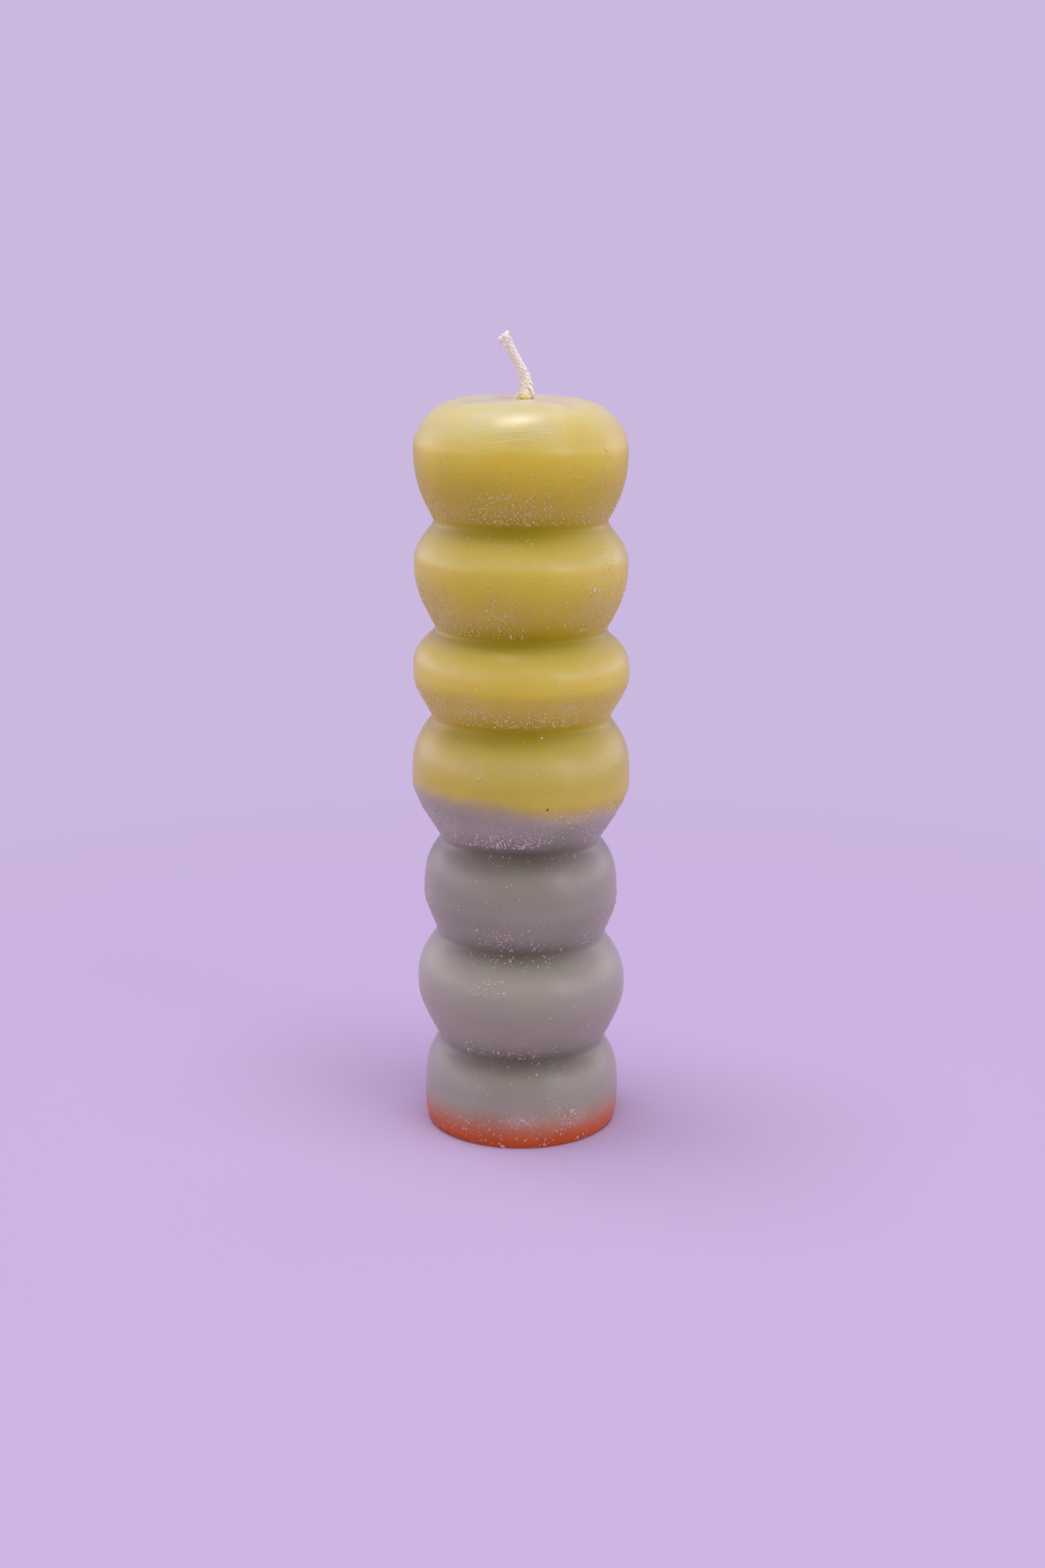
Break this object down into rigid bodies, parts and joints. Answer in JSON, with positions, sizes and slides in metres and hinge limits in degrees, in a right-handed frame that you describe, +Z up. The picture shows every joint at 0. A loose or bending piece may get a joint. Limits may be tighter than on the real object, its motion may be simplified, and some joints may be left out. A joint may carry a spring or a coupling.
{
  "type": "blob candle",
  "caption": "Tall pillar candle shaped as a stack of soft rounded blobs, with a bent cotton wick.",
  "frame": {"origin": "middle of the flat foot, on the surface that the candle stands on", "axes": "+Z up along the candle's axis, -X towards the side that the wick leans to"},
  "size_m": [0.0594, 0.0594, 0.2176],
  "materials": {
    "wax": "dyed wax, satin, in three colours that run into each other: yellow above, warm grey below, an orange foot",
    "cotton": "undyed braided cotton"
  },
  "bodies": {
    "root": {"wax_body": "wax", "wick": "cotton"}
  },
  "joints": []
}
